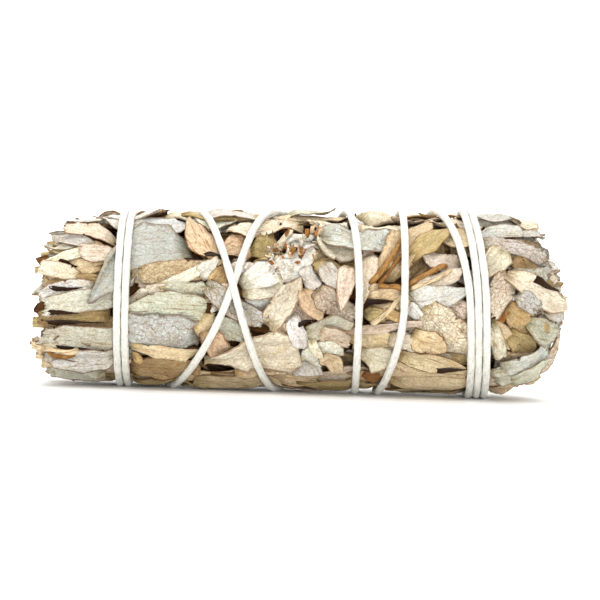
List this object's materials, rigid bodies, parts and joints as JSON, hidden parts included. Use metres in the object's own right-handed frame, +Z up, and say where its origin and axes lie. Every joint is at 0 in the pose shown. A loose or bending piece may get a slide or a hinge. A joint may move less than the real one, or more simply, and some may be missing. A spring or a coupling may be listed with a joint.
{
  "type": "sage smudge stick",
  "caption": "Short thick bundle of dried white sage leaves and stems, bound along its length with white cotton string, cut flat at one end.",
  "frame": {"origin": "under the middle of the bundle, on the surface it lies on", "axes": "+X along the bundle from the cut end to the leaf tips, +Z up, -Y the side where two strands cross"},
  "size_m": [0.105, 0.0377, 0.0367],
  "materials": {
    "dried_sage": "dull dry leaf, grey-green to tan, with veins, felted hairs and browned edges",
    "cotton_string": "soft white low-twist cotton, slightly fuzzy"
  },
  "bodies": {
    "root": {"leafy_stem_front": "dried_sage", "leafy_stem_front_top": "dried_sage", "leafy_stem_front_low": "dried_sage", "leafy_stem_back": "dried_sage", "leafy_stem_back_top": "dried_sage", "leafy_stem_back_low": "dried_sage", "leafy_stem_middle": "dried_sage", "cotton_string": "cotton_string"}
  },
  "joints": []
}
